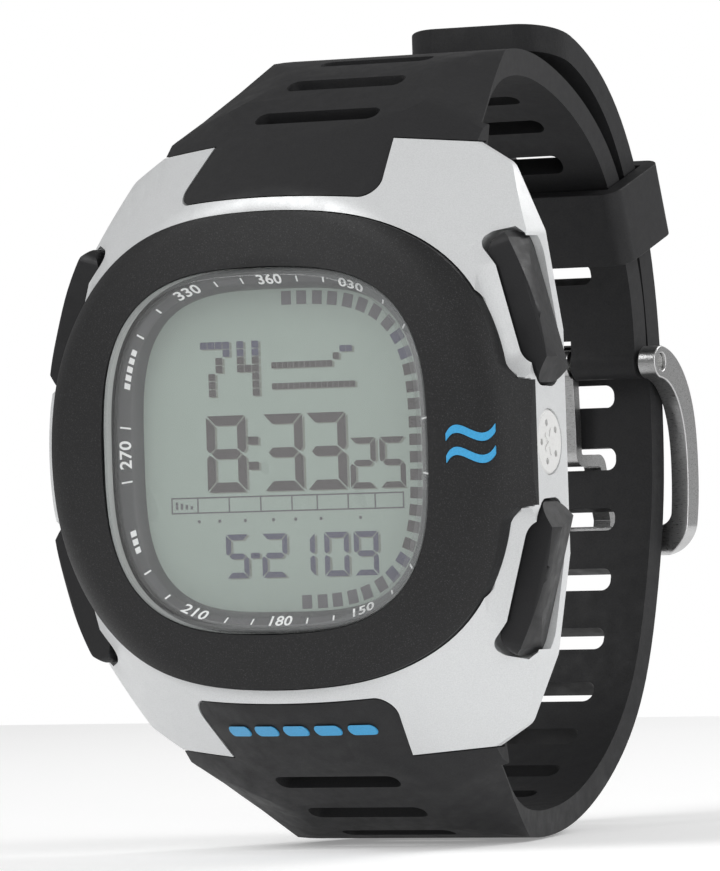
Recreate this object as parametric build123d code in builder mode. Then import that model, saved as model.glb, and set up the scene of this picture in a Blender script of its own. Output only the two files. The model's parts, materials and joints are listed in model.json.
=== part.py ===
"""Wrist-worn dive computer: case, module, four sprung buttons, rubber strap and pin buckle.

Frame: millimetres. +Z is 12 o'clock and +X is 3 o'clock. The dial looks along -Y and the case back
looks along +Y, towards the wrist. The origin is the centre of the case back's outer face.
A "depth" is a distance behind the top of the crystal, measured along +Y.
"""
from build123d import *
from math import cos, pi, radians, sin
import os

os.makedirs("parts", exist_ok=True)

# ---------------------------------------------------------------- driving dimensions
case_depth = 13.5          # crystal top to case back
case_half_x = 24.2         # half width across 3 and 9 o'clock
side_draft = 6.0           # degrees that the case sides lean in towards the wrist
lug_tip_z = 27.0           # end of each lug, from the middle
strap_seat_z = 21.6        # case wall that the strap's root faces

bezel_half_x = 22.6
bezel_half_z = 20.8
bezel_power = 2.6          # outline exponent: 2 is an ellipse, higher is squarer
crystal_half_x = 16.3
crystal_half_z = 15.9
crystal_power = 2.95
crystal_thick = 2.0

cavity_half_x = 16.6       # room for the module inside the case
cavity_half_z = 16.2
cavity_power = 3.2

shell_floor = 4.6          # depth of the flange that carries the bezel
shell_back = 12.9          # depth of the case shell's rear edge
back_plate_seat = 12.3     # depth where the case back is let in

back_half_x = 19.5         # case back
back_half_z = 19.0
back_power = 5

battery_radius = 10.0
battery_thick = 3.2

strap_half_root = 15.85    # strap half width between the lugs
strap_half_end = 8.0       # strap half width at the buckle
strap_thick = 2.4
loop_half_height = 35.3    # middle of the case to the top of the strap loop
loop_back = 47.5           # case back to the outside of the strap loop
slot_pitch = 6.16          # short strap
hole_pitch = 5.95          # long strap, whose slots are also the buckle's holes
slot_width = 2.1
slot_long_root = 12.4      # slot length beside the case
slot_long_end = 8.4        # slot length at the buckle

button_lean = 15.9         # degrees that a button's travel leans away from the X axis
button_travel = 0.8
button_face = 26.2         # outer face, measured from the case middle along the travel
button_inner = 23.4        # inner face of the cap, measured the same way
button_side = 5.69         # button axis, measured across the travel
stem_radius = 1.0

pin_radius = 0.75          # buckle pin
lug_pin_radius = 0.8
limb_thick = 1.8           # buckle frame's limb, across the strap

gap = 0.1                  # clearance between fixed pieces
seat_gap = 0.05            # clearance between pieces that are pressed together
run_gap = 0.05             # radial clearance of a shaft in its bore
move_gap = 0.3             # clearance round a moving cap

side = Plane.YZ            # sketches here are (Y, Z) and extrude along X


# ---------------------------------------------------------------- shared shapes
def front(depth):
    """Plane facing the viewer at a depth: local x is +X, local y is +Z, extrude is towards -Y."""
    return Plane(origin=(0, depth - case_depth, 0), x_dir=(1, 0, 0), z_dir=(0, -1, 0))


def barrel(half_x, half_z, power, points=32):
    """Rounded square: a closed curve between an ellipse and a rectangle."""
    with BuildLine() as line:
        ring = []
        for i in range(points):
            a = 2 * pi * (i + 0.5) / points
            x = half_x * abs(cos(a)) ** (2 / power) * (1 if cos(a) > 0 else -1)
            z = half_z * abs(sin(a)) ** (2 / power) * (1 if sin(a) > 0 else -1)
            ring.append((x, z))
        Spline(*ring, periodic=True)
    make_face(line.edges())


def slab(half_x, half_z, power, near, far):
    """Plate with a barrel outline between two depths."""
    with BuildPart() as plate:
        with BuildSketch(front(far)):
            barrel(half_x, half_z, power)
        extrude(amount=far - near)
    return plate.part


def turned(profile, fillet_radii):
    """Solid turned about the Y axis from (radius, depth) points; some corners are rounded."""
    with BuildPart() as solid:
        with BuildSketch(Plane.XY) as sketch:
            with BuildLine():
                Polyline(*[(r, d - case_depth) for r, d in profile], close=True)
            make_face()
            for index, radius in fillet_radii.items():
                r, d = profile[index]
                corner = sketch.vertices().sort_by_distance((r, d - case_depth))[0]
                fillet(corner, radius)
        revolve(axis=Axis.Y)
    return solid.part


# The case front is a flat face that rolls into a cone; the strap carries the same cone on.
cone_start = (22.2, 1.9)
cone_end = (31.8, 13.1)
cone_fillet = 4.0
deepest = 80.0


def dome(drop):
    """Everything behind the case's front surface, moved back by drop."""
    r0, d0 = cone_start
    r1, d1 = cone_end
    outline = [(0, d0 + drop), (r0, d0 + drop), (r1, d1 + drop), (deepest, d1 + drop + 40)]
    outline += [(deepest, deepest), (0, deepest)]
    return turned(outline, {1: cone_fillet})


def strap_dome(drop):
    """As dome, with the steeper crown that the strap takes beyond the lugs."""
    r0, d0 = cone_start
    r1, d1 = cone_end
    crown = [(33.0, 16.4), (34.8, 20.5), (37.0, 25.0), (41.0, 31.0)]
    outline = [(0, d0 + drop), (r0, d0 + drop), (r1, d1 + drop)]
    outline += [(r, d + drop) for r, d in crown]
    outline += [(deepest, 50), (deepest, deepest), (0, deepest)]
    return turned(outline, {1: cone_fillet})


def at_corner(shape, sx, sz):
    """The upper right piece, mirrored to another corner of the case."""
    if sx < 0:
        shape = mirror(shape, about=Plane.YZ, mode=Mode.PRIVATE)
    if sz < 0:
        shape = mirror(shape, about=Plane.XY, mode=Mode.PRIVATE)
    return shape


def on_end(shape, sz):
    """The 12 o'clock piece, mirrored to 6 o'clock when sz is negative."""
    return mirror(shape, about=Plane.XY, mode=Mode.PRIVATE) if sz < 0 else shape


def save(shape, name):
    shape.label = name
    export_step(shape, f"parts/{name}.step")


corners = {"right_upper": (1, 1), "right_lower": (1, -1), "left_upper": (-1, 1), "left_lower": (-1, -1)}
ends = {"upper": 1, "lower": -1}


# ---------------------------------------------------------------- button geometry
lean_cos = cos(radians(button_lean))
lean_sin = sin(radians(button_lean))
cap_top = 6.3              # depth range of a button cap
cap_bottom = 11.6
cap_below = 7.25           # cap's length on either side of its stem
cap_above = 6.3
cap_bow = 0.25             # how far the outer face bulges
cap_axis = (cap_top + cap_bottom) / 2
pocket_floor = button_inner - button_travel - 0.25
clip_seat = 18.3           # where the stem's retaining clip bears, along the travel
clip_thick = 0.35
clip_radius = 1.9
stem_tip = 17.3
spring_radius = 1.65
spring_wire = 0.22
spring_hole = 1.2          # depth of the spring's recess in the cap


def along(u, v):
    """Front view (X, Z) of a place u along the button's travel and v across it."""
    return (u * lean_cos - v * lean_sin, u * lean_sin + v * lean_cos)


def button_plane(u, depth=cap_axis):
    """Plane across the travel at u, centred on the stem, facing outwards."""
    x, z = along(u, button_side)
    return Plane(origin=(x, depth - case_depth, z), x_dir=(-lean_sin, 0, lean_cos),
                 z_dir=(lean_cos, 0, lean_sin))


def cap_outline(grow, inner):
    """Cap seen from the front, grown all round, from inner outwards: bevelled below, rounded above."""
    low, high = button_side - cap_below - grow, button_side + cap_above + grow
    face = button_face + grow
    with BuildLine() as line:
        Polyline(along(inner, high - 2.6), along(inner, low), along(24.3, low), along(face, low + 1.75))
        ThreePointArc(along(face, low + 1.75), along(face + cap_bow, button_side),
                      along(face - 0.5, high - 0.8))
        Polyline(along(face - 0.5, high - 0.8), along(face - 1.1, high), along(inner + 1.6, high))
        ThreePointArc(along(inner + 1.6, high), along(inner + 0.5, high - 0.8), along(inner, high - 2.6))
    make_face(line.edges())


def cap_block(grow, inner):
    """Cap with a blunt outer face, grown all round; its ends are rounded across the travel."""
    half = (cap_bottom - cap_top) / 2 + grow
    low, high = -cap_below - grow, cap_above + grow
    with BuildPart() as block:
        with BuildSketch(front(cap_bottom + grow)):
            cap_outline(grow, inner)
        extrude(amount=2 * half)
        with BuildSketch(button_plane(inner - 1)) as ends_view:
            with Locations(((low + high) / 2, 0)):
                Rectangle(high - low, 2 * half)
            for x, y, radius in ((high, -half, 2.6), (high, half, 1.3), (low, -half, 2.0), (low, half, 1.4)):
                fillet(ends_view.vertices().sort_by_distance((x, y))[0], radius + grow)
        extrude(amount=button_face - inner + 3, mode=Mode.INTERSECT)
    return block.part


# ---------------------------------------------------------------- case shell
notch_half = 10.3          # half width of the strap tab where it meets the case
notch_tip_half = 9.1       # and at the lug's tip
notch_radius = 1.3
notch_bow = 0.5            # how far the tab's base stands back from the bezel at its middle
plate_thick = 1.6          # lug plate over the strap's shoulder
pin_depth = 11.5           # lug pin
pin_z = 23.5
pin_half = 17.5
sensor_depth = 8.9
sensor_radius = 2.85
flap_half = 5.4            # bezel flap over the case side at 3 o'clock
flap_depth = 5.2
flap_thick = 1.3
screw_x, screw_z = 15.0, 14.8
screw_radius = 0.7
screw_head = 1.2


def strap_tab(shrink):
    """The strap's tab between the lugs at 12 o'clock, smaller all round by shrink."""
    base = strap_seat_z + shrink
    with BuildPart() as tab:
        with BuildSketch(front(case_depth + 1)) as sketch:
            with BuildLine():
                ThreePointArc((-notch_half + shrink, base), (0, base + notch_bow),
                              (notch_half - shrink, base))
                Polyline((notch_half - shrink, base), (notch_tip_half - shrink, lug_tip_z),
                         (notch_tip_half - shrink, lug_tip_z + 4), (-notch_tip_half + shrink, lug_tip_z + 4),
                         (-notch_tip_half + shrink, lug_tip_z), (-notch_half + shrink, base))
            make_face()
            fillet(sketch.vertices().group_by(Axis.Y)[0], notch_radius)
        extrude(amount=case_depth + 1)
    return tab.part


with BuildPart() as shoulder_channel:
    with BuildSketch(front(case_depth + 1)):
        with Locations((0, (strap_seat_z + lug_tip_z + 6) / 2)):
            Rectangle(2 * (strap_half_root + 0.2), lug_tip_z + 6 - strap_seat_z)
    extrude(amount=case_depth + 1)
    add(dome(plate_thick), mode=Mode.INTERSECT)

sensor_tilt = radians(side_draft)
sensor_face_x = case_half_x - (sensor_depth - shell_floor) * sin(sensor_tilt)


def sensor_plane(back):
    """Plane on the leaning 3 o'clock side, moved in from the side face by back."""
    return Plane(origin=(sensor_face_x - back * cos(sensor_tilt),
                         sensor_depth - case_depth - back * sin(sensor_tilt), 0),
                 x_dir=(0, 0, 1), z_dir=(cos(sensor_tilt), sin(sensor_tilt), 0))


with BuildPart() as button_room:
    add(cap_block(move_gap, pocket_floor))
    with BuildSketch(button_plane(pocket_floor + 0.5)):
        Circle(stem_radius + run_gap)
    extrude(amount=-(pocket_floor - stem_tip + 1.5))
    with BuildSketch(button_plane(clip_seat)):
        Circle(clip_radius + 0.35)
    extrude(amount=-3)
    seal_groove = 20.6
    with BuildSketch(button_plane(seal_groove)):
        Circle(stem_radius + 0.75)
    extrude(amount=0.9)

scoop_radius = 3.4
scoop_u, scoop_depth = 25.95, 3.2
with BuildPart() as button_scoop:
    low = Vector(*along(scoop_u, 1.6))
    high = Vector(*along(scoop_u, 9.8))
    scoop_plane = Plane(origin=(low.X, scoop_depth - case_depth, low.Y), x_dir=(0, 1, 0),
                        z_dir=(high.X - low.X, 0, high.Y - low.Y))
    with BuildSketch(scoop_plane):
        Circle(scoop_radius)
    extrude(amount=(high - low).length)
    for end in (low, high):
        with Locations((end.X, scoop_depth - case_depth, end.Y)):
            Sphere(scoop_radius)



def bezel_outline(grow):
    """Bezel seen from the front, with its shoulders at 3 o'clock, grown all round."""
    barrel(bezel_half_x + grow, bezel_half_z + grow, bezel_power)
    with BuildLine() as line:
        Polyline((20, 0), (20, 10.6 + grow), (20.9 + grow, 9.5 + grow), (21.6 + grow, 7.6 + grow),
                 (22.4 + grow, 6.4 + grow), (23.3, flap_half + 0.15 + grow),
                 (case_half_x + 1, flap_half + grow), (case_half_x + 1, 0))
        mirror(about=Plane.XZ)
    make_face(line.edges())


with BuildPart() as bezel_room:
    with BuildSketch(front(shell_floor)):
        bezel_outline(gap)
    extrude(amount=shell_floor)
    with BuildSketch(front(flap_depth + gap)):
        with Locations((case_half_x, 0)):
            Rectangle(2 * (flap_thick + gap), 2 * (flap_half + gap))
    extrude(amount=flap_depth)

with BuildPart() as case_shell:
    with BuildSketch(front(shell_back)) as sketch:
        with BuildLine():
            Polyline((case_half_x + 0.1, 0), (case_half_x, 4.5), (21.9, 18.4), (19.2, 24.4),
                     (15.9, 26.4), (9.0, lug_tip_z), (0, lug_tip_z + 0.02))
            mirror(about=Plane.YZ)
            mirror(about=Plane.XZ)
        make_face()
        fillet(sketch.vertices().filter_by(lambda p: abs(p.X) > 18 and abs(p.Y) > 18), 1.6)
        fillet(sketch.vertices().filter_by(lambda p: abs(p.X) > 24 and abs(p.Y) > 4), 8)
    extrude(amount=shell_back)
    add(dome(0), mode=Mode.INTERSECT)
    with BuildSketch(Plane.XY.offset(-40)):
        lean = (case_depth - shell_floor) * sin(sensor_tilt)
        with BuildLine():
            Polyline((case_half_x, -20), (case_half_x, shell_floor - case_depth), (case_half_x - lean, 0),
                     (-case_half_x + lean, 0), (-case_half_x, shell_floor - case_depth),
                     (-case_half_x, -20), close=True)
        make_face()
    extrude(amount=80, mode=Mode.INTERSECT)
    # seat of the bezel, module cavity and seat of the case back
    add(bezel_room.part, mode=Mode.SUBTRACT)
    add(slab(cavity_half_x, cavity_half_z, cavity_power, 0, case_depth), mode=Mode.SUBTRACT)
    add(slab(back_half_x + gap, back_half_z + gap, back_power, back_plate_seat, case_depth),
        mode=Mode.SUBTRACT)
    # strap tabs, shoulders and lug pins
    for sz in ends.values():
        add(on_end(strap_tab(0), sz), mode=Mode.SUBTRACT)
        add(on_end(shoulder_channel.part, sz), mode=Mode.SUBTRACT)
        with BuildSketch(side.offset(-pin_half - gap)):
            with Locations((pin_depth - case_depth, sz * pin_z)):
                Circle(lug_pin_radius + seat_gap)
        extrude(amount=2 * (pin_half + gap), mode=Mode.SUBTRACT)
    # button pockets with their stem bores, and the scoops beside them
    for sx, sz in corners.values():
        add(at_corner(button_room.part, sx, sz), mode=Mode.SUBTRACT)
        add(at_corner(button_scoop.part, sx, sz), mode=Mode.SUBTRACT)
        with BuildSketch(front(back_plate_seat)):
            with Locations((sx * screw_x, sz * screw_z)):
                Circle(screw_radius + seat_gap)
        extrude(amount=4.2, mode=Mode.SUBTRACT)
    # stepped bore for the pressure sensor at 3 o'clock
    with BuildSketch(sensor_plane(1.1)):
        Circle(sensor_radius + seat_gap)
    extrude(amount=4, mode=Mode.SUBTRACT)
    with BuildSketch(sensor_plane(1.8)):
        Circle(2.6)
    extrude(amount=2, mode=Mode.SUBTRACT)
    with BuildSketch(sensor_plane(1.0)):
        Circle(2.25)
    extrude(amount=-8, mode=Mode.SUBTRACT)
save(case_shell.part, "case_shell")

# ---------------------------------------------------------------- bezel and crystal
lip_wide = 0.35            # ledge under the crystal's edge
lip_half_x = crystal_half_x - lip_wide
lip_half_z = crystal_half_z - lip_wide
lip_top = crystal_thick + 0.3


def bezel_dome(drop):
    """Everything behind the bezel's front surface, moved back by drop."""
    outline = [(0, 0.35 + drop), (16.3, 0.35 + drop), (22.3, 1.55 + drop), (31.8, 12.6 + drop)]
    outline += [(31.8, deepest), (0, deepest)]
    return turned(outline, {1: 10.0, 2: 5.0})


emblem_x = 20.2
emblem_floor = 2.6


def emblem_bars():
    """Two plain wavy bars."""
    for z in (-0.95, 0.95):
        with BuildLine() as line:
            top = Spline((emblem_x - 2.1, z), (emblem_x - 1.05, z + 0.75), (emblem_x, z + 0.35),
                         (emblem_x + 1.05, z), (emblem_x + 2.1, z + 0.75))
            low = Spline((emblem_x - 2.1, z - 0.6), (emblem_x - 1.05, z + 0.05), (emblem_x, z - 0.35),
                         (emblem_x + 1.05, z - 0.7), (emblem_x + 2.1, z + 0.05))
            Line(top @ 0, low @ 0)
            Line(top @ 1, low @ 1)
        make_face(line.edges())


with BuildPart() as bezel:
    with BuildSketch(front(shell_floor - seat_gap)):
        bezel_outline(0)
    extrude(amount=shell_floor)
    with BuildSketch(front(flap_depth)):
        with Locations((case_half_x, 0)):
            Rectangle(2 * flap_thick, 2 * flap_half)
    extrude(amount=3)
    with BuildSketch(front(case_depth)):
        Rectangle(2 * (case_half_x + 0.35), 2 * case_half_x)
    extrude(amount=2 * case_depth, mode=Mode.INTERSECT)
    add(bezel_dome(0), mode=Mode.INTERSECT)
    add(slab(crystal_half_x + gap, crystal_half_z + gap, crystal_power, -1, lip_top), mode=Mode.SUBTRACT)
    add(slab(lip_half_x, lip_half_z, crystal_power, 0, case_depth), mode=Mode.SUBTRACT)
    with BuildSketch(front(emblem_floor)):
        emblem_bars()
    extrude(amount=4, mode=Mode.SUBTRACT)
save(bezel.part, "bezel")

with BuildPart() as bezel_emblem:
    with BuildSketch(front(emblem_floor)):
        emblem_bars()
    extrude(amount=4)
    add(bezel_dome(-0.12), mode=Mode.INTERSECT)
save(bezel_emblem.part, "bezel_emblem")

with BuildPart() as crystal:
    with BuildSketch(front(crystal_thick)):
        barrel(crystal_half_x, crystal_half_z, crystal_power)
    extrude(amount=crystal_thick)
    chamfer(crystal.edges().group_by(Axis.Y)[0], 0.7)
save(crystal.part, "crystal")

with BuildPart() as crystal_gasket:
    add(slab(crystal_half_x, crystal_half_z, crystal_power, crystal_thick, lip_top))
    add(slab(lip_half_x + seat_gap, lip_half_z + seat_gap, crystal_power, 0, 5), mode=Mode.SUBTRACT)
save(crystal_gasket.part, "crystal_gasket")

# ---------------------------------------------------------------- display
window_half = 14.1
face_half = 14.6           # inner edge of the ring's printed face
ring_top = crystal_thick + 0.2
ring_edge = ring_top + 0.5
ring_bottom = 3.9
lcd_half = 14.9
lcd_top = ring_bottom
lcd_bottom = 5.5
light_bottom = 6.0
strip_z = 13.1            # rubber connector strips at the display's upper and lower edges
strip_wide = 1.2
strip_half_x = 8.5
board_top = 7.0
board_bottom = 7.8

with BuildPart() as dial_ring:
    add(slab(lip_half_x - gap, lip_half_z - gap, crystal_power, ring_top, ring_bottom))
    with BuildSketch(front(ring_bottom)):
        barrel(window_half, window_half, 3.4)
    with BuildSketch(front(ring_edge)):
        barrel(face_half, face_half, 3.2)
    loft(mode=Mode.SUBTRACT)
    with BuildSketch(front(ring_edge)):
        barrel(face_half, face_half, 3.2)
    with BuildSketch(front(ring_top)):
        barrel(lip_half_x - 0.35, lip_half_z - 0.35, crystal_power)
    loft(mode=Mode.SUBTRACT)
save(dial_ring.part, "dial_ring")

with BuildPart() as lcd_panel:
    add(slab(lcd_half, lcd_half, cavity_power, lcd_top, lcd_bottom))
save(lcd_panel.part, "lcd_panel")

with BuildPart() as backlight_panel:
    add(slab(lcd_half - 1.1, strip_z - strip_wide / 2 - gap, cavity_power, lcd_bottom, light_bottom))
save(backlight_panel.part, "backlight_panel")

with BuildPart() as lcd_connector_strips:
    with BuildSketch(front(board_top)):
        with Locations((0, strip_z), (0, -strip_z)):
            Rectangle(2 * strip_half_x, strip_wide)
    extrude(amount=board_top - lcd_bottom)
save(lcd_connector_strips.part, "lcd_connector_strips")

# ---------------------------------------------------------------- module
frame_top = shell_floor + 0.05
frame_bottom = 11.7
frame_half_x = cavity_half_x - 0.3
frame_half_z = cavity_half_z - 0.3
battery_top = board_bottom + 0.3
battery_bottom = battery_top + battery_thick
clip_leg_x = battery_radius + 0.6
leaf_u = 16.25             # contact face of each switch leaf, along the button's travel

with BuildPart() as stem_room:
    with BuildSketch(button_plane(15.2)):
        Circle(2.7)
    extrude(amount=8)

with BuildPart() as leaf_room:
    with BuildSketch(button_plane(leaf_u + 1, board_bottom + 0.25)):
        Rectangle(3.4, 0.8)
    extrude(amount=-4)

with BuildPart() as module_frame:
    add(slab(frame_half_x, frame_half_z, cavity_power, frame_top, frame_bottom))
    add(slab(lcd_half + gap, lcd_half + gap, cavity_power, 0, board_bottom + gap), mode=Mode.SUBTRACT)
    with BuildSketch(front(frame_bottom)):
        Circle(battery_radius + 0.15)
        with Locations((clip_leg_x, 0), (-clip_leg_x, 0)):
            Rectangle(1.4, 4.4)
    extrude(amount=frame_bottom, mode=Mode.SUBTRACT)
    with BuildSketch(front(board_bottom + 0.25)):
        with Locations((frame_half_x, 0)):
            Rectangle(5, 2.2)
    extrude(amount=0.35, mode=Mode.SUBTRACT)
    for sx, sz in corners.values():
        add(at_corner(stem_room.part, sx, sz), mode=Mode.SUBTRACT)
        add(at_corner(leaf_room.part, sx, sz), mode=Mode.SUBTRACT)
save(module_frame.part, "module_frame")

with BuildPart() as circuit_board:
    add(slab(lcd_half, lcd_half, cavity_power, board_top, board_bottom))
    for sx, sz in corners.values():
        add(at_corner(stem_room.part, sx, sz), mode=Mode.SUBTRACT)
save(circuit_board.part, "circuit_board")

with BuildPart() as board_parts:
    with BuildSketch(front(board_top)):
        RectangleRounded(7, 7, 0.8)
        with Locations((8, 3), (8, -1)):
            Rectangle(2.2, 1.4)
        with Locations((-8, 0)):
            Rectangle(1.8, 6)
        with Locations((-3, -8), (1, -8), (5, -8)):
            Rectangle(2, 1.2)
    extrude(amount=0.8)
save(board_parts.part, "board_parts")

leaf_thick = 0.2
with BuildPart() as switch_leaf:
    with BuildSketch(button_plane(leaf_u)):
        Rectangle(3.0, 2 * (cap_axis - board_bottom - 0.02))
    extrude(amount=-leaf_thick)
    foot = button_plane(leaf_u, board_bottom + leaf_thick / 2 + 0.02)
    with BuildSketch(foot):
        Rectangle(3.0, leaf_thick)
    extrude(amount=-2.6)
with BuildPart() as switch_leaves:
    for sx, sz in corners.values():
        add(at_corner(switch_leaf.part, sx, sz))
save(switch_leaves.part, "switch_leaves")

with BuildPart() as battery:
    with BuildSketch(front(battery_bottom)):
        Circle(battery_radius)
    extrude(amount=battery_thick - 0.5)
    with BuildSketch(front(battery_top + 0.5)):
        Circle(battery_radius - 1.4)
    extrude(amount=0.5)
    fillet(battery.edges().group_by(Axis.Y)[-1], 0.4)
save(battery.part, "battery")

with BuildPart() as battery_clip:
    clip_low = battery_bottom + 0.05
    with BuildSketch(front(clip_low + 0.25)):
        Rectangle(2 * (clip_leg_x + 0.25), 4)
    extrude(amount=0.25)
    with BuildSketch(front(clip_low)):
        with Locations((clip_leg_x, 0), (-clip_leg_x, 0)):
            Rectangle(0.5, 4)
    extrude(amount=clip_low - board_bottom)
save(battery_clip.part, "battery_clip")

with BuildPart() as piezo_buzzer:
    with BuildSketch(front(back_plate_seat)):
        Circle(9)
    extrude(amount=0.15)
    with BuildSketch(front(back_plate_seat - 0.15)):
        Circle(7)
    extrude(amount=0.15)
save(piezo_buzzer.part, "piezo_buzzer")

# ---------------------------------------------------------------- case back
gasket_thick = 0.6
gasket_out = 17.5
gasket_wide = 0.9


def back_groove(outer, inner, spare):
    """Ring between two barrel outlines, from the case back's seat into the plate."""
    with BuildPart() as ring:
        add(slab(outer, outer - 0.4, cavity_power, back_plate_seat, back_plate_seat + gasket_thick + spare))
        add(slab(inner, inner - 0.4, cavity_power, 0, case_depth), mode=Mode.SUBTRACT)
    return ring.part


with BuildPart() as case_back:
    add(slab(back_half_x, back_half_z, back_power, back_plate_seat + seat_gap, case_depth))
    chamfer(case_back.edges().group_by(Axis.Y)[-1], 0.4)
    with BuildSketch(front(case_depth)):
        Circle(13.2)
        Circle(12.6, mode=Mode.SUBTRACT)
    extrude(amount=0.2, mode=Mode.SUBTRACT)
    with Locations(front(case_depth).rotated((0, 180, 0))):
        with Locations(*[(sx * screw_x, sz * screw_z) for sx, sz in corners.values()]):
            CounterBoreHole(screw_radius + seat_gap, screw_head + gap, 0.6, depth=3)
    add(back_groove(gasket_out, gasket_out - gasket_wide, seat_gap), mode=Mode.SUBTRACT)
save(case_back.part, "case_back")

with BuildPart() as case_back_gasket:
    add(back_groove(gasket_out - seat_gap, gasket_out - gasket_wide + seat_gap, 0))
save(case_back_gasket.part, "case_back_gasket")

with BuildPart() as case_back_screws:
    head_depth = case_depth - 0.1
    for sx, sz in corners.values():
        with BuildSketch(front(head_depth)):
            with Locations((sx * screw_x, sz * screw_z)):
                Circle(screw_head)
        extrude(amount=0.5)
        with BuildSketch(front(head_depth - 0.5)):
            with Locations((sx * screw_x, sz * screw_z)):
                Circle(screw_radius)
        extrude(amount=4)
        with BuildSketch(front(head_depth)):
            with Locations((sx * screw_x, sz * screw_z)):
                Rectangle(1.7, 0.35)
                Rectangle(0.35, 1.7)
        extrude(amount=0.3, mode=Mode.SUBTRACT)
save(case_back_screws.part, "case_back_screws")

# ---------------------------------------------------------------- pressure sensor
with BuildPart() as sensor_cover:
    with BuildSketch(sensor_plane(1.0)):
        Circle(sensor_radius)
        with PolarLocations(1.75, 5, start_angle=90):
            Circle(0.3, mode=Mode.SUBTRACT)
    extrude(amount=1.0)
    chamfer(sensor_cover.faces().sort_by(Axis.X)[-1].outer_wire().edges(), 0.2)
    with BuildSketch(sensor_plane(0)):
        with PolarLocations(0, 5, start_angle=54):
            with Locations((0.55, 0)):
                SlotCenterToCenter(0.9, 0.45)
    extrude(amount=0.1)
save(sensor_cover.part, "sensor_cover")

with BuildPart() as sensor_gasket:
    with BuildSketch(sensor_plane(1.75)):
        Circle(2.55)
        Circle(2.2, mode=Mode.SUBTRACT)
    extrude(amount=0.6)
save(sensor_gasket.part, "sensor_gasket")

sensor_length = 4.4
with BuildPart() as pressure_sensor:
    with BuildSketch(sensor_plane(1.15)):
        Circle(1.3)
    extrude(amount=-0.6)
    with BuildSketch(sensor_plane(1.75)):
        Circle(2.15)
    extrude(amount=-(sensor_length - 0.6))
save(pressure_sensor.part, "pressure_sensor")

with BuildPart() as sensor_lead:
    with BuildSketch(front(board_bottom + 0.15)):
        with Locations(((lcd_half - 0.6 + 18.1) / 2, 0)):
            Rectangle(18.1 - lcd_half + 0.6, 1.6)
    extrude(amount=0.15)
save(sensor_lead.part, "sensor_lead")

# ---------------------------------------------------------------- buttons
far_x, far_z = along(0, button_side - 12)
lean_profile = Plane(origin=(far_x, 0, far_z), x_dir=(lean_cos, 0, lean_sin),
                     z_dir=(-lean_sin, 0, lean_cos))
with BuildPart() as button_cap:
    add(cap_block(0, button_inner))
    with BuildSketch(lean_profile) as profile:
        with BuildLine():
            top, bottom = cap_top - case_depth, cap_bottom - case_depth
            face = button_face + cap_bow + 0.1
            Polyline((button_inner - 2, top), (face, top), (face, top + 0.5),
                     (face - 1.2, bottom), (button_inner - 2, bottom), close=True)
        make_face()
        fillet(profile.vertices().filter_by(lambda p: p.X > button_inner + 1), 0.4)
    extrude(amount=24, mode=Mode.INTERSECT)
    with BuildSketch(button_plane(button_inner)):
        Circle(spring_radius + spring_wire + 0.25)
    extrude(amount=spring_hole, mode=Mode.SUBTRACT)
    with BuildSketch(button_plane(button_inner)):
        Circle(stem_radius)
    extrude(amount=spring_hole + 0.5, mode=Mode.SUBTRACT)

with BuildPart() as button_stem:
    with BuildSketch(button_plane(stem_tip)):
        Circle(stem_radius)
    extrude(amount=button_inner + spring_hole + 0.5 - stem_tip)
    with BuildSketch(button_plane(clip_seat - seat_gap - clip_thick)):
        Circle(stem_radius + 1)
        Circle(stem_radius - 0.3, mode=Mode.SUBTRACT)
    extrude(amount=clip_thick, mode=Mode.SUBTRACT)

with BuildPart() as button_clip:
    with BuildSketch(button_plane(clip_seat - seat_gap - clip_thick)):
        Circle(clip_radius)
        Circle(stem_radius - 0.3, mode=Mode.SUBTRACT)
        with Locations((0, clip_radius)):
            Rectangle(1.0, 2 * clip_radius, mode=Mode.SUBTRACT)
    extrude(amount=clip_thick)

spring_low = pocket_floor + spring_wire
spring_high = button_inner + spring_hole - spring_wire
with BuildPart() as button_spring:
    coil_plane = button_plane(spring_low)
    with BuildLine():
        coil = Helix(pitch=(spring_high - spring_low) / 4, height=spring_high - spring_low,
                     radius=spring_radius, center=coil_plane.origin, direction=coil_plane.z_dir)
    with BuildSketch(Plane(origin=coil @ 0, z_dir=coil % 0)):
        Circle(spring_wire)
    sweep()

for place, (sx, sz) in corners.items():
    save(at_corner(button_cap.part, sx, sz), f"button_cap_{place}")
    save(at_corner(button_stem.part, sx, sz), f"button_stem_{place}")
    save(at_corner(button_clip.part, sx, sz), f"button_clip_{place}")
    save(at_corner(button_spring.part, sx, sz), f"button_spring_{place}")

seal_wire = 0.33
with BuildPart() as button_seal:
    with Locations(button_plane(seal_groove + 0.45)):
        Torus(stem_radius + run_gap + seal_wire, seal_wire)
with BuildPart() as button_seals:
    for sx, sz in corners.values():
        add(at_corner(button_seal.part, sx, sz))
save(button_seals.part, "button_seals")

# ---------------------------------------------------------------- strap
strap_start = (7.5 - case_depth, lug_tip_z)
first_slot = (11.8 - case_depth, 29.4)
short_back = loop_back - strap_thick - 0.5
hinge_y = short_back - strap_thick / 2
hinge_z = 7.2
tail_tip_y = 27.4
tail_corner = 4.0
short_slots = 10
long_slots = 18
tongue_hole = 12           # slot of the long strap that the buckle's tongue is in


def loop(fy, fz):
    """Side view (Y, Z) from fractions of the loop's depth and half height."""
    return (fy * loop_back, fz * loop_half_height)


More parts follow.
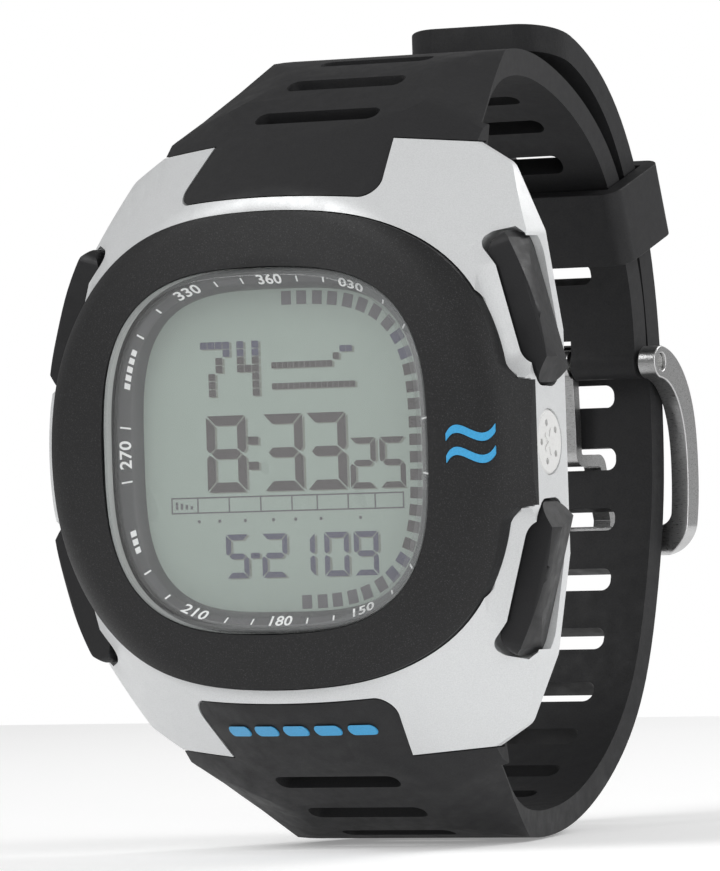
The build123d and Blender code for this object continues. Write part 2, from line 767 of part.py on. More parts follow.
short_curve = Spline(strap_start, first_slot, loop(0.078, 0.921), loop(0.198, 0.98), loop(0.379, 1.0),
                     loop(0.547, 0.966), loop(0.695, 0.887), loop(0.821, 0.737), loop(0.899, 0.524),
                     (short_back, hinge_z), tangents=((0.87, 0.49), (0, -1)))
long_curve = Spline((strap_start[0], -strap_start[1]), (first_slot[0], -first_slot[1]),
                    loop(0.078, -0.921), loop(0.198, -0.98), loop(0.389, -1.0), loop(0.585, -0.963),
                    loop(0.726, -0.878), loop(0.865, -0.694), loop(0.95, -0.425), loop(0.994, -0.142),
                    loop(1.0, 0.113), loop(0.99, 0.34), loop(0.956, 0.567), loop(0.897, 0.765),
                    loop(0.819, 0.912), loop(0.726, 1.011), loop(0.642, 1.062), loop(0.577, 1.085))


def strap_band(curve, turn):
    """Strap in the side view: its outer curve, and the same curve moved in by the thickness."""
    with BuildLine() as line:
        add(curve)
        inner = [curve @ (i / 24) + (curve % (i / 24)).rotate(Axis.Z, turn) * strap_thick
                 for i in range(25)]
        under = Spline(*inner)
        Line(curve @ 0, under @ 0)
        Line(curve @ 1, under @ 1)
    make_face(line.edges())


def station(curve, distance):
    """Point and direction of travel at a length along a strap's outer curve."""
    point = curve.position_at(distance, position_mode=PositionMode.LENGTH)
    heading = curve.tangent_at(distance, position_mode=PositionMode.LENGTH)
    return point, heading


first_slot_at = (Vector(*first_slot) - Vector(*strap_start)).length


def slot_cuts(curve, pitch, count):
    """Slots across the strap at a constant pitch, shorter where the strap is narrower."""
    with BuildPart() as cuts:
        for i in range(count):
            p, t = station(curve, first_slot_at + i * pitch)
            share = min(1, i / 7)
            long = slot_long_root + (slot_long_end - slot_long_root) * share
            plane = Plane(origin=(0, p.X, p.Y), x_dir=(1, 0, 0), z_dir=(0, -t.Y, t.X))
            with BuildSketch(plane):
                RectangleRounded(long, slot_width, slot_width * 0.42)
            extrude(amount=strap_thick + 1.5, both=True)
    return cuts.part


def width_plan(half):
    """Strap outline seen from 12 o'clock (X, Y): full width at the case, narrow at the back."""
    with BuildLine() as line:
        edge = Spline((half, -1.5), (half - 2.55, 6.5), (half - 5.1, 16.5), (half - 7.1, 27),
                      (strap_half_end, 38), tangents=((-0.25, 1), (0, 1)))
        Polyline(edge @ 1, (strap_half_end, loop_back + 9), (0, loop_back + 9))
        Polyline(edge @ 0, (half, -20), (0, -20))
        mirror(about=Plane.YZ)
    make_face(line.edges())


lug_zone_far = 17.2
with BuildPart() as lug_plates:
    with BuildSketch(front(case_depth + 2)):
        with BuildLine():
            Polyline((0, strap_seat_z - 1), (lug_zone_far, strap_seat_z - 1), (lug_zone_far, 26.1),
                     (15.9, 26.4 + gap), (9.0, lug_tip_z + gap), (0, lug_tip_z + gap + 0.02))
            mirror(about=Plane.YZ)
        make_face()
    extrude(amount=case_depth + 2)
    add(strap_tab(gap), mode=Mode.SUBTRACT)
    add(dome(plate_thick + 0.15), mode=Mode.SUBTRACT)

with BuildPart() as strap_root:
    with BuildSketch(side.offset(-strap_half_root)):
        with BuildLine():
            Polyline((-case_depth + 0.1, strap_seat_z + gap), (-8.2, 25.2), strap_start, first_slot,
                     (0.9, 27.9), (-0.5, strap_seat_z + gap), close=True)
        make_face()
    extrude(amount=2 * strap_half_root)


def strap_end(band, sz):
    """A strap's band with its root, shaped to sit in the lugs and bored for the lug pin."""
    with BuildPart() as strap:
        add(band)
        add(on_end(strap_root.part, sz))
        add(on_end(strap_dome(gap), sz), mode=Mode.INTERSECT)
        add(on_end(lug_plates.part, sz), mode=Mode.SUBTRACT)
        with BuildSketch(side.offset(-strap_half_root - 1)):
            with Locations((pin_depth - case_depth, sz * pin_z)):
                Circle(lug_pin_radius + seat_gap)
        extrude(amount=2 * strap_half_root + 2, mode=Mode.SUBTRACT)
    return strap.part


with BuildPart() as short_band:
    with BuildSketch(side.offset(-strap_half_root)):
        strap_band(short_curve, -90)
        with Locations((hinge_y, hinge_z)):
            Circle(strap_thick / 2 + 0.3)
    extrude(amount=2 * strap_half_root)
    with BuildSketch(Plane.XY.offset(0)):
        width_plan(strap_half_root)
    extrude(amount=60, mode=Mode.INTERSECT)

tongue_half = 0.9
notch_half_x = tongue_half + 0.45
with BuildPart() as strap_upper:
    add(strap_end(short_band.part, 1))
    add(slot_cuts(short_curve, slot_pitch, short_slots), mode=Mode.SUBTRACT)
    with BuildSketch(side.offset(-strap_half_root)):
        with Locations((hinge_y, hinge_z)):
            Circle(pin_radius + seat_gap)
    extrude(amount=2 * strap_half_root, mode=Mode.SUBTRACT)
    with BuildSketch(front(case_depth + 70)):
        with Locations((0, hinge_z)):
            Rectangle(2 * notch_half_x, 4.4)
    extrude(amount=35, mode=Mode.SUBTRACT)
save(strap_upper.part, "strap_upper")

tail_turn_z = 4.0          # above this height the long strap is all tail
with BuildPart() as long_plan:
    with BuildSketch(Plane.XY.offset(-loop_back)):
        width_plan(strap_half_root)
    extrude(amount=loop_back + tail_turn_z)
    with BuildSketch(Plane.XY.offset(tail_turn_z)) as tail:
        with Locations((0, tail_tip_y + loop_back / 2)):
            Rectangle(2 * strap_half_end, loop_back)
        fillet(tail.vertices().group_by(Axis.Y)[0], tail_corner)
    extrude(amount=loop_back)

with BuildPart() as long_band:
    with BuildSketch(side.offset(-strap_half_root)):
        strap_band(long_curve, 90)
    extrude(amount=2 * strap_half_root)
    add(long_plan.part, mode=Mode.INTERSECT)

with BuildPart() as strap_lower:
    add(strap_end(long_band.part, -1))
    add(slot_cuts(long_curve, hole_pitch, long_slots), mode=Mode.SUBTRACT)
save(strap_lower.part, "strap_lower")

for end, sz in ends.items():
    with BuildPart() as lug_pin:
        with BuildSketch(side.offset(-pin_half)):
            with Locations((pin_depth - case_depth, sz * pin_z)):
                Circle(lug_pin_radius)
        extrude(amount=2 * pin_half)
    save(lug_pin.part, f"lug_pin_{end}")

with BuildPart() as strap_accent:
    with BuildSketch(front(case_depth)):
        with Locations(*[(x, -24.6) for x in (-6.2, -3.1, 0, 3.1, 6.2)]):
            SlotOverall(2.4, 0.9)
    extrude(amount=case_depth)
    add(dome(gap), mode=Mode.SUBTRACT)
    add(dome(-0.1), mode=Mode.INTERSECT)
save(strap_accent.part, "strap_accent")

# ---------------------------------------------------------------- buckle
limb_in = strap_half_end + 0.4
limb_out = limb_in + limb_thick
with BuildPart() as buckle_pin:
    with BuildSketch(side.offset(-(limb_out - 0.3))):
        with Locations((hinge_y, hinge_z)):
            Circle(pin_radius)
    extrude(amount=2 * (limb_out - 0.3))
save(buckle_pin.part, "buckle_pin")


def from_hinge(dy, dz):
    return (hinge_y + dy, hinge_z + dz)


bar_top = hinge_z - 15.2
bar_bottom = hinge_z - 18.1
with BuildPart() as buckle_frame:
    with BuildSketch(side.offset(-limb_out)):
        with BuildLine():
            over = Spline(from_hinge(0, 1.5), from_hinge(3.2, 0.2), from_hinge(5.8, -3.3),
                          from_hinge(6.8, -8.7), from_hinge(6.6, -13.7), from_hinge(5.6, -17.4))
            under = Spline(from_hinge(0, -1.5), from_hinge(2.2, -2.6), from_hinge(4.0, -5.6),
                           from_hinge(4.6, -9.7), from_hinge(4.4, -13.7), from_hinge(3.8, -17.0))
            Line(over @ 0, under @ 0)
            ThreePointArc(over @ 1, from_hinge(4.5, -18.0), under @ 1)
        make_face()
        with Locations((hinge_y, hinge_z)):
            Circle(1.5)
    extrude(amount=2 * limb_out)
    with BuildSketch(front(case_depth + 60)) as plan:
        with Locations((0, (bar_bottom + hinge_z + 3) / 2)):
            Rectangle(2 * limb_out, hinge_z + 3 - bar_bottom)
        fillet(plan.vertices().group_by(Axis.Y)[0], 3)
    extrude(amount=40, mode=Mode.INTERSECT)
    with BuildSketch(front(case_depth + 60)) as window:
        with Locations((0, (bar_top + hinge_z + 5) / 2)):
            Rectangle(2 * limb_in, hinge_z + 5 - bar_top)
        fillet(window.vertices().group_by(Axis.Y)[0], 1.2)
    extrude(amount=40, mode=Mode.SUBTRACT)
    with BuildSketch(side.offset(-limb_out)):
        with Locations((hinge_y, hinge_z)):
            Circle(pin_radius + run_gap)
    extrude(amount=2 * limb_out, mode=Mode.SUBTRACT)
save(buckle_frame.part, "buckle_frame")

tongue_thick = 1.1
hole, hole_heading = station(long_curve, first_slot_at + tongue_hole * hole_pitch)
hole_out = hole.X
hole_in = hole.X - strap_thick
hole_z = hole.Y
with BuildPart() as buckle_tongue:
    with BuildLine(side) as path:
        FilletPolyline(from_hinge(0.35, -1.0), (hole_in - 1.05, hole_z + 2.8), (hole_in - 1.05, hole_z),
                       (hole_out + 1.15, hole_z), from_hinge(7.05, -14.6), from_hinge(6.45, -17.6),
                       radius=[0.8, 0.85, 0.85, 0.8])
    with BuildSketch(Plane(origin=path.wire() @ 0, z_dir=path.wire() % 0, x_dir=(1, 0, 0))):
        Rectangle(2 * tongue_half, tongue_thick)
    sweep()
    with BuildSketch(side.offset(-tongue_half)):
        with Locations((hinge_y, hinge_z)):
            Circle(pin_radius + run_gap + 0.55)
    extrude(amount=2 * tongue_half)
    with BuildSketch(side.offset(-tongue_half)):
        with Locations((hinge_y, hinge_z)):
            Circle(pin_radius + run_gap)
    extrude(amount=2 * tongue_half, mode=Mode.SUBTRACT)
save(buckle_tongue.part, "buckle_tongue")

# ---------------------------------------------------------------- keeper
keeper_long = 7.0
keeper_wall = 1.5
keeper_room = 0.3
keeper_slide = 1.5         # travel each way along the strap
keeper_at = 100.5          # place along the long strap's outer curve
keeper_spot, keeper_heading = station(long_curve, keeper_at)
keeper_outward = keeper_heading.rotate(Axis.Z, -90)


def across_keeper(curve, turn):
    """How far both faces of a strap stand out from the keeper's spot, wherever the keeper slides."""
    reach = []
    for i in range(401):
        face = curve @ (i / 400)
        for point in (face, face + (curve % (i / 400)).rotate(Axis.Z, turn) * strap_thick):
            from_spot = point - keeper_spot
            if abs(from_spot.dot(keeper_heading)) < keeper_long / 2 + keeper_slide + 0.3:
                reach.append(from_spot.dot(keeper_outward))
    return reach


layers = across_keeper(long_curve, 90) + across_keeper(short_curve, -90)
layers_thick = max(layers) - min(layers)
layers_middle = (max(layers) + min(layers)) / 2
keeper_plane = Plane(origin=(0, keeper_spot.X, keeper_spot.Y), x_dir=(1, 0, 0),
                     z_dir=(0, keeper_heading.X, keeper_heading.Y))
with BuildPart() as strap_keeper:
    with BuildSketch(keeper_plane):
        with Locations((0, layers_middle)):
            RectangleRounded(2 * (strap_half_end + keeper_room + keeper_wall),
                             layers_thick + 2 * (keeper_room + keeper_wall), 1.6)
            Rectangle(2 * (strap_half_end + keeper_room), layers_thick + 2 * keeper_room,
                      mode=Mode.SUBTRACT)
    extrude(amount=keeper_long / 2, both=True)
save(strap_keeper.part, "strap_keeper")
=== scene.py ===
"""Looks of the dive computer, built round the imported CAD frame.

Metres; the dial faces -Y and 12 o'clock is +Z.
"""
import json
from math import cos, hypot, pi, radians, sin

import bmesh
import bpy
from mathutils import Matrix, Vector


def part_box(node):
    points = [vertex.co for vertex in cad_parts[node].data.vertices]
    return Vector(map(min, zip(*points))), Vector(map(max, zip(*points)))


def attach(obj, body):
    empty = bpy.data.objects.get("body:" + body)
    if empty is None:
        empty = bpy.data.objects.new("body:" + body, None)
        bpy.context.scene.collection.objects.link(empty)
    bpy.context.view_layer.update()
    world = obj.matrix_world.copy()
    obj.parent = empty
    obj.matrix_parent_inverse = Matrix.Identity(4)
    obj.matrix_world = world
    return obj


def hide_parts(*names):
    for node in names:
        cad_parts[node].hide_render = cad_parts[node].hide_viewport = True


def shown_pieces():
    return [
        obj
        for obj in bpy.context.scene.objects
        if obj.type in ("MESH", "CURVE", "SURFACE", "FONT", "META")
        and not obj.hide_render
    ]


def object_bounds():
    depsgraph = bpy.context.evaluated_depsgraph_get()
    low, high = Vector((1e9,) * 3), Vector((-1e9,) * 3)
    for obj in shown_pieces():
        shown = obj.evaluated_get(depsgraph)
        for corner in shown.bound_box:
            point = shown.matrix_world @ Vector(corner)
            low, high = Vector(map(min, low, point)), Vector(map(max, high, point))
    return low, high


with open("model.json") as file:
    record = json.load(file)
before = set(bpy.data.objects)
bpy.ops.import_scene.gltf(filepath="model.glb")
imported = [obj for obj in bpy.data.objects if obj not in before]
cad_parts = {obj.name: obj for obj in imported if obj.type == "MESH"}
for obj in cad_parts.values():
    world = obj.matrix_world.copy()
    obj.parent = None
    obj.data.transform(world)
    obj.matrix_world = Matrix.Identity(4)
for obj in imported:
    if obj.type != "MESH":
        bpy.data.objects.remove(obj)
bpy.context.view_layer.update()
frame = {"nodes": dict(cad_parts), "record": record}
nodes = frame["nodes"]
record = frame["record"]
MM = 0.001
CASE_DEPTH = 13.5 * MM        # crystal top to case back
bodies = record["behaviour"]["bodies"]
body_of = {n: b for b, members in bodies.items() for n in members}
slot_of = {s["node"]: s["material_slot"] for s in record["subparts"]}


# ---------------------------------------------------------------- materials
class Paint:
    """A node material under construction."""

    def __init__(self, name, color, roughness, metallic=0.0, specular=0.5, **sockets):
        self.mat = bpy.data.materials.new(name)
        self.mat.use_nodes = True
        self.tree = self.mat.node_tree
        self.tree.nodes.clear()
        self.out = self.add("ShaderNodeOutputMaterial")
        self.bsdf = self.add("ShaderNodeBsdfPrincipled")
        self.link(self.bsdf.outputs["BSDF"], self.out.inputs["Surface"])
        self.bsdf.inputs["Base Color"].default_value = (*color, 1)
        self.bsdf.inputs["Roughness"].default_value = roughness
        self.bsdf.inputs["Metallic"].default_value = metallic
        self.bsdf.inputs["Specular IOR Level"].default_value = specular
        for key, value in sockets.items():
            self.bsdf.inputs[key.replace("_", " ")].default_value = value
        self.color = color
        self.place = self.add("ShaderNodeTexCoord").outputs["Object"]
        self.normal = None

    def add(self, kind, **values):
        node = self.tree.nodes.new(kind)
        for key, value in values.items():
            if key in node.inputs:
                node.inputs[key].default_value = value
            else:
                setattr(node, key, value)
        return node

    def link(self, a, b):
        self.tree.links.new(a, b)

    def noise(self, scale, detail=3.0, rough=0.6, stretch=None):
        node = self.add("ShaderNodeTexNoise", Scale=scale, Detail=detail, Roughness=rough)
        place = self.place
        if stretch:
            warp = self.add("ShaderNodeMapping")
            warp.inputs["Scale"].default_value = stretch
            self.link(place, warp.inputs["Vector"])
            place = warp.outputs["Vector"]
        self.link(place, node.inputs["Vector"])
        return node.outputs["Fac"]

    def ramp(self, fac, stops):
        node = self.add("ShaderNodeValToRGB")
        ramp = node.color_ramp
        ramp.elements[0].position, ramp.elements[0].color = stops[0][0], (*stops[0][1], 1)
        ramp.elements[1].position, ramp.elements[1].color = stops[-1][0], (*stops[-1][1], 1)
        for position, color in stops[1:-1]:
            ramp.elements.new(position).color = (*color, 1)
        self.link(fac, node.inputs["Fac"])
        return node.outputs["Color"]

    def tint(self, fac, low, high, share=(0.35, 0.65)):
        """Base colour that wanders between two factors of the paint's own colour."""
        a = tuple(c * low for c in self.color)
        b = tuple(c * high for c in self.color)
        self.link(self.ramp(fac, [(share[0], a), (share[1], b)]), self.bsdf.inputs["Base Color"])
        return self

    def gloss(self, fac, low, high, share=(0.3, 0.7)):
        """Roughness that wanders between two values."""
        node = self.add("ShaderNodeMapRange")
        node.inputs["From Min"].default_value, node.inputs["From Max"].default_value = share
        node.inputs["To Min"].default_value, node.inputs["To Max"].default_value = low, high
        self.link(fac, node.inputs["Value"])
        self.link(node.outputs["Result"], self.bsdf.inputs["Roughness"])
        return self

    def bump(self, fac, depth_mm, strength=1.0):
        node = self.add("ShaderNodeBump")
        node.inputs["Strength"].default_value = strength
        node.inputs["Distance"].default_value = depth_mm * MM
        self.link(fac, node.inputs["Height"])
        if self.normal:
            self.link(self.normal, node.inputs["Normal"])
        self.normal = node.outputs["Normal"]
        self.link(self.normal, self.bsdf.inputs["Normal"])
        return self


def grained(name, color, roughness, scale, depth, low=0.85, high=1.15, metallic=0.0, spread=0.08, **more):
    """Moulded or painted surface: a fine grain in height and tone, and a slower drift of gloss."""
    p = Paint(name, color, roughness, metallic, **more)
    fine = p.noise(scale, detail=4)
    p.tint(fine, low, high)
    p.gloss(p.noise(scale / 12), roughness - spread, roughness + spread)
    p.bump(fine, depth, 0.6)
    return p


def brushed(name, color, roughness, stretch, depth=0.004, scale=2500):
    """Steel with fine lines in one direction."""
    p = Paint(name, color, roughness, 1.0)
    lines = p.noise(scale, detail=5, stretch=stretch)
    p.tint(lines, 0.86, 1.1)
    p.gloss(lines, roughness - 0.06, roughness + 0.08)
    p.bump(lines, depth, 0.5)
    return p


def speckled(name, color, fleck, roughness, scale, depth):
    """Dark moulding with sparse light flecks."""
    p = Paint(name, color, roughness)
    fine = p.noise(scale, detail=2)
    dots = p.noise(scale * 1.7, detail=1)
    p.link(p.ramp(dots, [(0.0, color), (0.60, color), (0.72, fleck)]), p.bsdf.inputs["Base Color"])
    p.gloss(fine, roughness - 0.06, roughness + 0.08)
    p.bump(fine, depth, 0.6)
    return p


silver = grained("silver_paint", (0.66, 0.67, 0.675), 0.40, 9000, 0.008, 0.93, 1.05, metallic=0.15)
black = speckled("bezel_black", (0.0125, 0.0125, 0.013), (0.05, 0.05, 0.052), 0.50, 7000, 0.012)
rubber = grained("strap_rubber", (0.017, 0.017, 0.018), 0.60, 8000, 0.014, 0.8, 1.25)
button = grained("button_black", (0.014, 0.014, 0.015), 0.48, 9000, 0.010, 0.85, 1.2)
seal = grained("seal_rubber", (0.02, 0.02, 0.02), 0.5, 5000, 0.006)
for matt in (black, rubber, button, seal):
    matt.bsdf.inputs["Specular IOR Level"].default_value = 0.28
steel = brushed("buckle_steel", (0.55, 0.55, 0.55), 0.30, (1, 6, 6))
plain_steel = brushed("pin_steel", (0.62, 0.62, 0.61), 0.28, (6, 1, 6))
back_steel = brushed("back_steel", (0.56, 0.56, 0.56), 0.32, (1, 1, 14), scale=900)
sensor_white = grained("sensor_white", (0.72, 0.72, 0.71), 0.38, 6000, 0.006, 0.95, 1.03)
ring_dark = grained("ring_grey", (0.028, 0.029, 0.031), 0.42, 9000, 0.006, 0.9, 1.15)
pad_dark = grained("ring_pad_grey", (0.050, 0.051, 0.055), 0.38, 9000, 0.006, 0.9, 1.15)
print_white = grained("print_white", (0.85, 0.86, 0.86), 0.5, 9000, 0.002, 0.95, 1.03)
blue = grained("print_blue", (0.045, 0.33, 0.62), 0.35, 7000, 0.004, 0.92, 1.08)
lcd = grained("lcd_face", (0.262, 0.318, 0.283), 0.34, 1400, 0.0, 0.985, 1.02)
lcd_ink = grained("lcd_ink", (0.040, 0.032, 0.034), 0.35, 3000, 0.0, 0.9, 1.15)
lcd_blue = grained("lcd_ink_blue", (0.045, 0.045, 0.085), 0.35, 3000, 0.0, 0.9, 1.15)
lcd_pale = grained("lcd_ink_pale", (0.075, 0.072, 0.082), 0.35, 3000, 0.0, 0.9, 1.1)
lcd_shade = grained("lcd_shadow", (0.150, 0.165, 0.145), 0.34, 3000, 0.0, 0.95, 1.05)
board = grained("board_mask", (0.02, 0.13, 0.05), 0.3, 2500, 0.004)
plastic = grained("module_plastic", (0.62, 0.62, 0.60), 0.45, 4000, 0.006)
chip = grained("chip_epoxy", (0.02, 0.02, 0.02), 0.5, 5000, 0.004)
brass = brushed("brass_disc", (0.72, 0.50, 0.18), 0.3, (1, 1, 6))
film = grained("lead_film", (0.45, 0.22, 0.05), 0.3, 3000, 0.002)
diffuser = grained("diffuser_film", (0.70, 0.76, 0.68), 0.5, 2500, 0.002)

glass = Paint("crystal_clear", (0.97, 0.98, 0.98), 0.02, 0.0, 0.5)
glass.bsdf.inputs["Alpha"].default_value = 0.06
glass.gloss(glass.noise(300), 0.01, 0.04)
glass_edge = Paint("crystal_edge", (0.52, 0.54, 0.53), 0.10, 0.0, 0.8)
glass_edge.gloss(glass_edge.noise(900), 0.06, 0.16)
glass_bevel = Paint("crystal_bevel", (0.30, 0.31, 0.31), 0.05, 0.0, 0.8)
glass_bevel.bsdf.inputs["Alpha"].default_value = 0.35
glass_bevel.gloss(glass_bevel.noise(900), 0.03, 0.09)

finish_of_slot = {
    "silver_shell": silver, "black_bezel": black, "emblem_print": blue, "crystal_glass": glass,
    "gasket_rubber": seal, "dial_ring_paint": ring_dark, "lcd_glass": lcd, "backlight_film": diffuser,
    "module_plastic": plastic, "board_green": board, "chip_plastic": chip, "spring_steel": plain_steel,
    "cell_steel": plain_steel, "brass_disc": brass, "steel_back": back_steel, "screw_steel": plain_steel,
    "sensor_plastic": sensor_white, "sensor_steel": plain_steel, "lead_film": film,
    "strap_rubber": rubber, "accent_print": blue, "buckle_steel": steel, "button_plastic": button,
}
for name, node in nodes.items():
    node.data.materials.clear()
    node.data.materials.append(finish_of_slot[slot_of[name]].mat)


# ---------------------------------------------------------------- building pieces
def piece(name, mesh, paint, body):
    """A new object that rides on a CAD body."""
    obj = bpy.data.objects.new(name, mesh)
    bpy.context.scene.collection.objects.link(obj)
    if paint:
        mesh.materials.append(paint.mat)
    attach(obj, body)
    return obj


def soften(name, width_mm, angle=28, segments=3):
    """The CAD node with its sharp edges rounded."""
    source = nodes[name]
    mesh = source.data.copy()
    bm = bmesh.new()
    bm.from_mesh(mesh)
    bmesh.ops.remove_doubles(bm, verts=bm.verts, dist=2e-6)
    bmesh.ops.dissolve_limit(bm, angle_limit=radians(0.6), verts=bm.verts, edges=bm.edges)
    for face in bm.faces:
        face.smooth = True
    for edge in bm.edges:
        edge.smooth = True
    bm.to_mesh(mesh)
    bm.free()
    obj = piece(name + "_rounded", mesh, None, body_of[name])
    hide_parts(name)
    bevel = obj.modifiers.new("edges", "BEVEL")
    bevel.width = width_mm * MM
    bevel.segments = segments
    bevel.limit_method = "ANGLE"
    bevel.angle_limit = radians(angle)
    bevel.harden_normals = True
    return obj


def depth(mm):
    """Row Y of a depth behind the top of the crystal."""
    return mm * MM - CASE_DEPTH


def barrel(half_x, half_z, power, count=256):
    """Rounded-square ring of points (x, z), in millimetres, starting at 12 o'clock and turning clockwise."""
    ring = []
    for i in range(count):
        a = 2 * pi * i / count
        x, z = sin(a), cos(a)
        grow = (abs(x / half_x) ** power + abs(z / half_z) ** power) ** (-1 / power)
        ring.append((x * grow, z * grow))
    return ring


def rings_mesh(name, levels, closed=True, cap_first=False, cap_last=False):
    """Skin through barrel rings: each level is (half_x, half_z, power, depth)."""
    bm = bmesh.new()
    loops = []
    for half_x, half_z, power, d in levels:
        loops.append([bm.verts.new((x * MM, depth(d), z * MM)) for x, z in barrel(half_x, half_z, power)])
    count = len(loops[0])
    pairs = list(zip(loops, loops[1:] + loops[:1])) if closed else list(zip(loops, loops[1:]))
    for a, b in pairs:
        for i in range(count):
            j = (i + 1) % count
            bm.faces.new((a[i], b[i], b[j], a[j]))
    if cap_first:
        bm.faces.new(loops[0])
    if cap_last:
        bm.faces.new(loops[-1])
    bmesh.ops.recalc_face_normals(bm, faces=bm.faces)
    mesh = bpy.data.meshes.new(name)
    bm.to_mesh(mesh)
    bm.free()
    return mesh


def plates(name, outlines, at, thick_mm, paint, body="watch"):
    """Thin raised print, and the painted shadows of the display's segments: flat outlines in (x, z)
    millimetres standing on depth at.
    """
    bm = bmesh.new()
    for outline in outlines:
        low = [bm.verts.new((x * MM, depth(at), z * MM)) for x, z in outline]
        top = [bm.verts.new((x * MM, depth(at - thick_mm), z * MM)) for x, z in outline]
        bm.faces.new(top)
        bm.faces.new(list(reversed(low)))
        for i in range(len(low)):
            j = (i + 1) % len(low)
            bm.faces.new((low[i], low[j], top[j], top[i]))
    bmesh.ops.recalc_face_normals(bm, faces=bm.faces)
    mesh = bpy.data.meshes.new(name)
    bm.to_mesh(mesh)
    bm.free()
    return piece(name, mesh, paint, body)


# ---------------------------------------------------------------- crystal and dial ring
crystal_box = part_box("crystal")
crystal_x = crystal_box[1][0] / MM
crystal_z = crystal_box[1][2] / MM
CRYSTAL_POWER = 2.95
CRYSTAL_THICK = 2.0
RING_POWER = 2.95
WINDOW = (14.1, 14.1, 3.4)
FACE = (14.6, 14.6, 3.2)

levels = [(crystal_x - 0.70, crystal_z - 0.70, CRYSTAL_POWER, 0.0),
          (crystal_x - 0.62, crystal_z - 0.62, CRYSTAL_POWER, 0.03),
          (crystal_x - 0.06, crystal_z - 0.06, CRYSTAL_POWER, 0.62),
          (crystal_x, crystal_z, CRYSTAL_POWER, 0.72),
          (crystal_x, crystal_z, CRYSTAL_POWER, CRYSTAL_THICK)]
crystal_mesh = rings_mesh("crystal_body", levels, closed=False, cap_first=True, cap_last=True)
crystal = piece("crystal_body", crystal_mesh, glass, "watch")
crystal_mesh.materials.append(glass_bevel.mat)
crystal_mesh.materials.append(glass_edge.mat)
for face in crystal_mesh.polygons:
    spread = [crystal_mesh.vertices[v].co.y for v in face.vertices]
    if len(face.vertices) == 4:
        face.material_index = 2 if max(spread) > depth(1) else 1
        face.use_smooth = True
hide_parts("crystal")

ring_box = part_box("dial_ring")
ring_x, ring_z = ring_box[1][0] / MM, ring_box[1][2] / MM
ring_top = (ring_box[0][1] + CASE_DEPTH) / MM
ring_low = (ring_box[1][1] + CASE_DEPTH) / MM
SHOULDER = 0.25               # flat rim outside the printed face
EDGE = 0.06                   # bevels along the ring's corners
FACE_IN = 0.05
face_low = ring_top + 0.5
ring_levels = [(ring_x, ring_z, RING_POWER, ring_top + EDGE),
               (ring_x - EDGE, ring_z - EDGE, RING_POWER, ring_top),
               (ring_x - SHOULDER, ring_z - SHOULDER, RING_POWER, ring_top + 0.02),
               (ring_x - SHOULDER - EDGE, ring_z - SHOULDER - EDGE, RING_POWER, ring_top + EDGE),
               (FACE[0] + FACE_IN, FACE[1] + FACE_IN, FACE[2], face_low - 0.02),
               (FACE[0] - 0.03, FACE[1] - 0.03, FACE[2], face_low + EDGE),
               (WINDOW[0] + 0.02, WINDOW[1] + 0.02, WINDOW[2], ring_low - EDGE),
               (WINDOW[0] + 0.02, WINDOW[1] + 0.02, WINDOW[2], ring_low),
               (ring_x, ring_z, RING_POWER, ring_low)]
ring = piece("dial_ring_turned", rings_mesh("dial_ring_turned", ring_levels), ring_dark, "watch")
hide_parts("dial_ring")


def ring_point(turn, share, lift=0.0):
    """Point on the ring's face: turn is in degrees from 12, share is 0 at its inner edge and 1 outside."""
    a = radians(turn)
    x, z = sin(a), cos(a)

    def reach(hx, hz, power):
        return (abs(x / hx) ** power + abs(z / hz) ** power) ** (-1 / power)
    inner = reach(FACE[0] + FACE_IN, FACE[1] + FACE_IN, FACE[2])
    outer = reach(ring_x - SHOULDER - EDGE, ring_z - SHOULDER - EDGE, RING_POWER)
    r = inner + (outer - inner) * share
    d = (face_low - 0.02) + (ring_top + EDGE - face_low + 0.02) * share
    return Vector((x * r * MM, depth(d - lift), z * r * MM))


def ring_patch(turns, shares, lift, name, paint):
    """Patches on the ring's face, each from one turn to another."""
    bm = bmesh.new()
    for t0, t1 in turns:
        steps = max(2, int(abs(t1 - t0)))
        grid = []
        for i in range(steps + 1):
            t = t0 + (t1 - t0) * i / steps
            grid.append([(bm.verts.new(ring_point(t, s, lift)), bm.verts.new(ring_point(t, s, -0.02)))
                         for s in shares])
        for a, b in zip(grid, grid[1:]):
            bm.faces.new((a[0][0], a[1][0], b[1][0], b[0][0]))
            bm.faces.new((a[0][0], b[0][0], b[0][1], a[0][1]))
            bm.faces.new((a[1][0], a[1][1], b[1][1], b[1][0]))
        for end in (grid[0], grid[-1]):
            bm.faces.new((end[0][0], end[0][1], end[1][1], end[1][0]))
    bmesh.ops.recalc_face_normals(bm, faces=bm.faces)
    mesh = bpy.data.meshes.new(name)
    bm.to_mesh(mesh)
    bm.free()
    return piece(name, mesh, paint, "watch")


TICKS = [10.5, 20.2, 42, 52, 81, 99, 128, 138, 159.8, 169.5]
all_ticks = TICKS + [-t for t in TICKS]
ring_patch([(t - 0.28, t + 0.28) for t in all_ticks], (0.05, 1.0), 0.03, "ring_ticks", print_white)
pads = [(11.2, 19.5), (42.7, 51.3), (128.7, 137.3), (160.5, 168.8)]
pads += [(-b, -a) for a, b in pads]
ring_patch(pads, (0.06, 0.96), 0.02, "ring_pads", pad_dark)
wide = [(21, 41.2), (52.8, 80.2), (81.8, 98.2), (99.8, 127.2), (138.8, 159), (-9.7, 9.7), (170.3, 189.7)]
wide += [(-b, -a) for a, b in wide[:5]]
ring_patch(wide, (0.06, 0.96), 0.012, "ring_fields", ring_dark)


